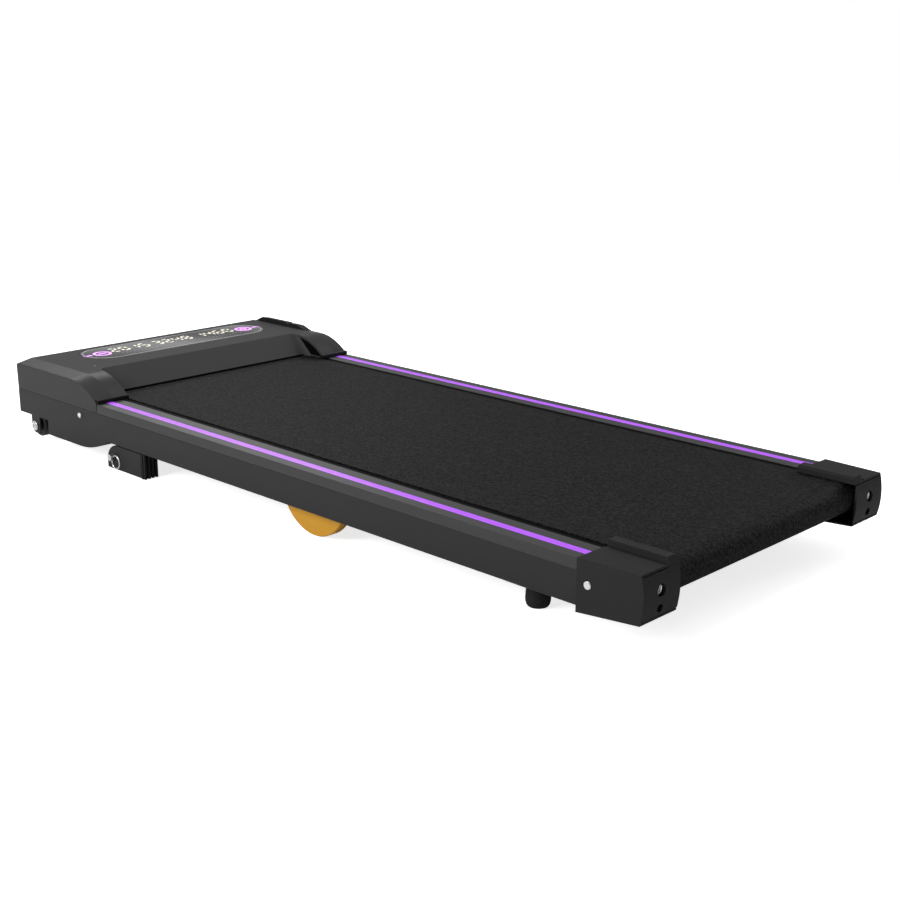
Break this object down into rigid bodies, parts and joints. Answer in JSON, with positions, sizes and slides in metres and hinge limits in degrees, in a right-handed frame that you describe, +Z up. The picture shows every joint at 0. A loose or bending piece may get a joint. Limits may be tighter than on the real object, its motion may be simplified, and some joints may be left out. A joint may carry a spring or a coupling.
{
  "type": "walking pad",
  "caption": "Low flat walking treadmill without handrails: running belt between foot rails, motor hood at the front, end caps, transport wheels, fold-out incline legs and rubber feet.",
  "frame": {"origin": "centre of the footprint, on the floor", "axes": "+Y forward to the motor hood, +X to the walker's right, +Z up"},
  "size_m": [0.496, 1.204, 0.1308],
  "materials": {
    "painted_steel": "black powder coat, fine texture",
    "deck_wood": "laminated fibre board, dark waxed film",
    "soft_rubber": "moulded, matt",
    "walking_belt": "woven belt with a pebbled cover",
    "coated_aluminium": "extruded section, dark satin coat",
    "light_diffuser": "lilac diffuser, satin",
    "cap_plastic": "moulded, fine spark texture",
    "pan_plastic": "moulded, fine spark texture",
    "hood_plastic": "moulded, satin",
    "strip_plastic": "moulded, matt",
    "device_plastic": "moulded, half gloss",
    "turned_steel": "turned and ground",
    "pulley_plastic": "glass filled nylon",
    "plated_steel": "bright zinc plate",
    "circuit_board": "solder mask with parts",
    "display_lens": "smoked, half mirror",
    "wheel_tyre": "moulded, matt",
    "amber_plastic": "moulded, amber"
  },
  "bodies": {
    "frame": {"left_side_member": "painted_steel", "right_side_member": "painted_steel", "cross_tubes": "painted_steel", "deck_board": "deck_wood", "deck_cushions": "soft_rubber", "running_belt": "walking_belt", "left_foot_rail": "coated_aluminium", "right_foot_rail": "coated_aluminium", "left_light_strip": "light_diffuser", "right_light_strip": "light_diffuser", "left_end_cap": "cap_plastic", "right_end_cap": "cap_plastic", "left_roller_bracket": "painted_steel", "right_roller_bracket": "painted_steel", "rear_axle": "turned_steel", "rear_bearings": "turned_steel", "front_axle": "turned_steel", "front_bearings": "turned_steel", "tension_bolts": "plated_steel", "drive_motor": "painted_steel", "motor_saddles": "painted_steel", "drive_belt": "soft_rubber", "motor_controller": "circuit_board", "base_pan": "pan_plastic", "motor_hood": "hood_plastic", "display_lens": "display_lens", "display_board": "circuit_board", "receiver_window": "device_plastic", "power_inlet": "device_plastic", "switch_housing": "device_plastic", "shoulder_strip": "strip_plastic", "wheel_bolts": "plated_steel", "wheel_forks": "painted_steel", "left_leg_bracket": "painted_steel", "right_leg_bracket": "painted_steel", "leg_pivots": "plated_steel", "left_rear_foot": "soft_rubber", "right_rear_foot": "soft_rubber", "foot_studs": "plated_steel", "left_bumper": "amber_plastic", "right_bumper": "amber_plastic", "side_screws": "plated_steel", "cap_screws": "plated_steel"},
    "front_roller": {"front_roller": "turned_steel", "roller_pulley": "pulley_plastic"},
    "rear_roller": {"rear_roller": "turned_steel"},
    "motor_rotor": {"motor_pulley": "turned_steel"},
    "left_wheel": {"left_wheel": "wheel_tyre"},
    "right_wheel": {"right_wheel": "wheel_tyre"},
    "left_leg": {"left_leg": "painted_steel", "left_leg_tip": "soft_rubber"},
    "right_leg": {"right_leg": "painted_steel", "right_leg_tip": "soft_rubber"},
    "left_lock_pin": {"left_lock_pin": "plated_steel"},
    "right_lock_pin": {"right_lock_pin": "plated_steel"},
    "left_pull_ring": {"left_pull_ring": "plated_steel"},
    "right_pull_ring": {"right_pull_ring": "plated_steel"},
    "switch_rocker": {"switch_rocker": "device_plastic"}
  },
  "joints": [
    {"name": "front_roller_spin", "type": "hinge", "parent": "frame", "child": "front_roller", "pos_m": [0, 0.464, 0.072], "axis": [1, 0, 0], "continuous": true},
    {"name": "rear_roller_spin", "type": "hinge", "parent": "frame", "child": "rear_roller", "pos_m": [0, -0.5763, 0.072], "axis": [1, 0, 0], "continuous": true},
    {"name": "motor_spin", "type": "hinge", "parent": "frame", "child": "motor_rotor", "pos_m": [0.198, 0.542, 0.066], "axis": [1, 0, 0], "continuous": true},
    {"name": "left_wheel_spin", "type": "hinge", "parent": "frame", "child": "left_wheel", "pos_m": [-0.231, 0.557, 0.027], "axis": [1, 0, 0], "continuous": true},
    {"name": "left_leg_fold", "type": "hinge", "parent": "frame", "child": "left_leg", "pos_m": [-0.2275, 0.34, 0.012], "axis": [1, 0, 0], "range_deg": [0, 90]},
    {"name": "left_pin_pull", "type": "slide", "parent": "left_leg", "child": "left_lock_pin", "axis": [-1, 0, 0], "range_m": [0, 0.006], "stiffness_N_per_m": 400, "springref_m": -0.004},
    {"name": "left_ring_swing", "type": "hinge", "parent": "left_lock_pin", "child": "left_pull_ring", "pos_m": [-0.2438, 0.34667, 0.01791], "axis": [0, 0.4226, -0.9063], "range_deg": [0, 170]},
    {"name": "right_wheel_spin", "type": "hinge", "parent": "frame", "child": "right_wheel", "pos_m": [0.231, 0.557, 0.027], "axis": [1, 0, 0], "continuous": true},
    {"name": "right_leg_fold", "type": "hinge", "parent": "frame", "child": "right_leg", "pos_m": [0.2275, 0.34, 0.012], "axis": [1, 0, 0], "range_deg": [0, 90]},
    {"name": "right_pin_pull", "type": "slide", "parent": "right_leg", "child": "right_lock_pin", "axis": [1, 0, 0], "range_m": [0, 0.006], "stiffness_N_per_m": 400, "springref_m": -0.004},
    {"name": "right_ring_swing", "type": "hinge", "parent": "right_lock_pin", "child": "right_pull_ring", "pos_m": [0.2438, 0.34667, 0.01791], "axis": [0, -0.4226, 0.9063], "range_deg": [0, 170]},
    {"name": "rocker_tilt", "type": "hinge", "parent": "frame", "child": "switch_rocker", "pos_m": [-0.098, 0.594, 0.0606], "axis": [1, 0, 0], "range_deg": [0, 14]}
  ],
  "couplings": [
    {"joint": "rear_roller_spin", "follows": "front_roller_spin", "ratio": 1},
    {"joint": "motor_spin", "follows": "front_roller_spin", "ratio": 2.25}
  ]
}
